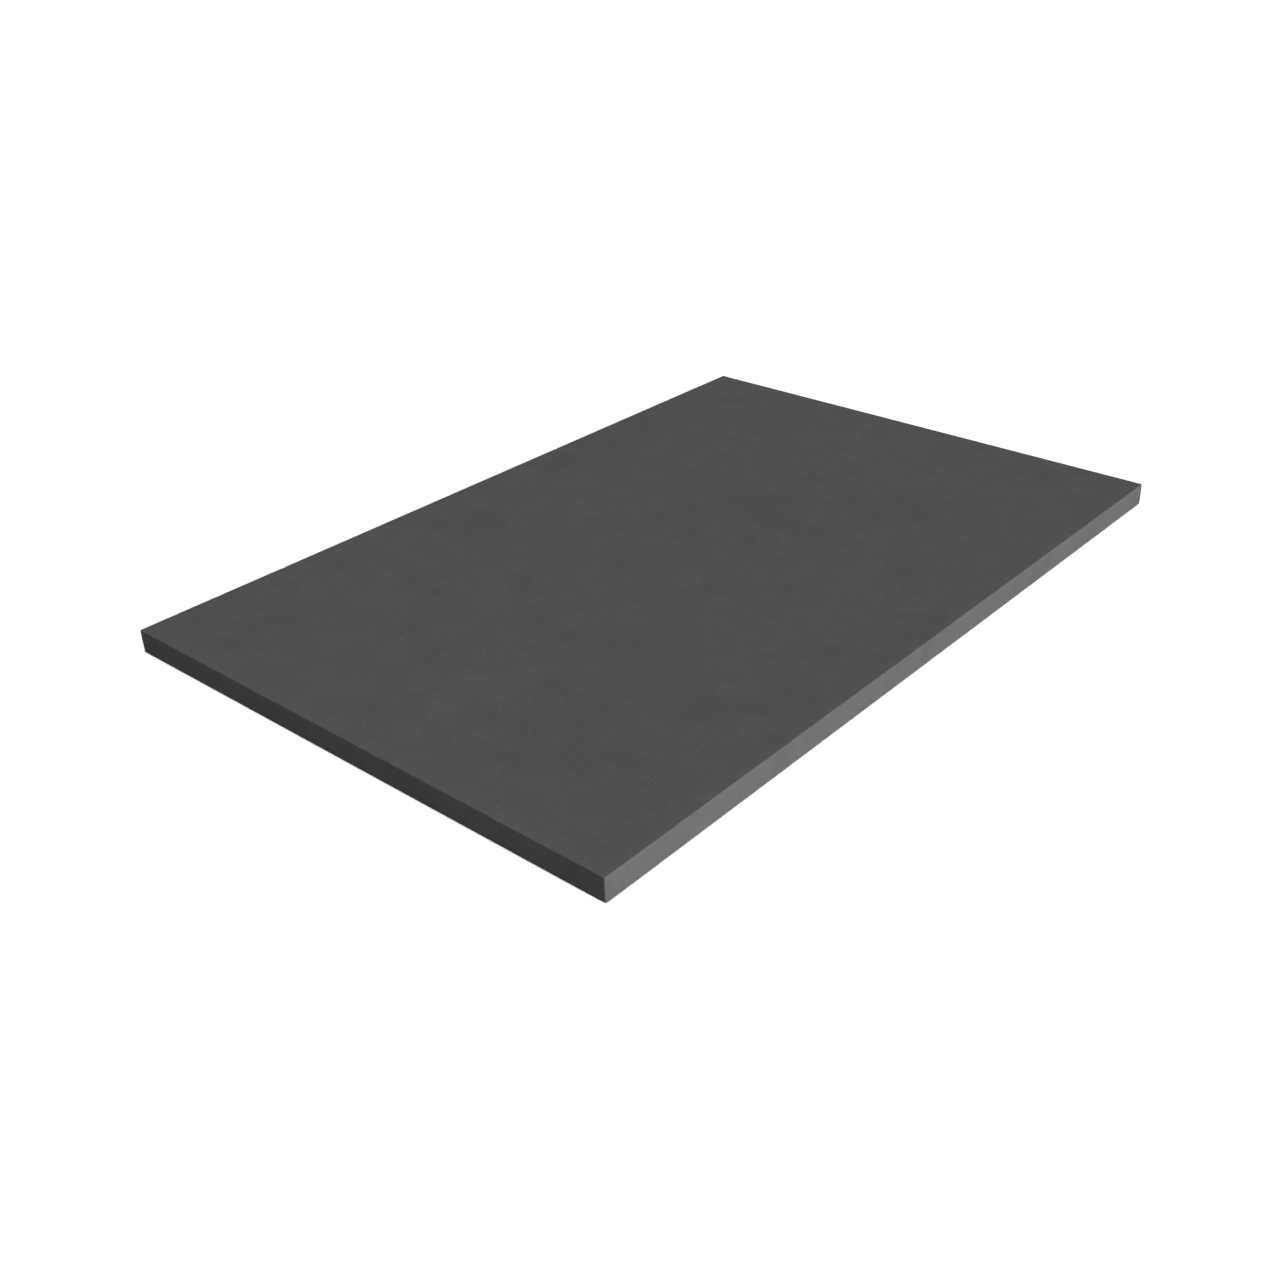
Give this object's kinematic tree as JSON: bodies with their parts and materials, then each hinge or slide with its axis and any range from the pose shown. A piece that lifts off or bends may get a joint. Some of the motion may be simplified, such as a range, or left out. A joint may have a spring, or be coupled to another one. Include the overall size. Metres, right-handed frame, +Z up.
{
  "type": "granite slab",
  "caption": "Thin rectangular slab of dark honed granite with crisp eased edges, laid on a bench as the hard flat base for stamping, skiving and gluing leather.",
  "frame": {"origin": "centre of the underside, on the plane that the slab rests on", "axes": "+X along the long side, +Y along the short side, +Z up out of the work face"},
  "size_m": [0.4572, 0.3048, 0.012],
  "materials": {
    "honed_granite": "matte honed top, fine sawn edges, dark grey with a faint cloudy mottle"
  },
  "bodies": {
    "root": {"granite_slab": "honed_granite"}
  },
  "joints": []
}
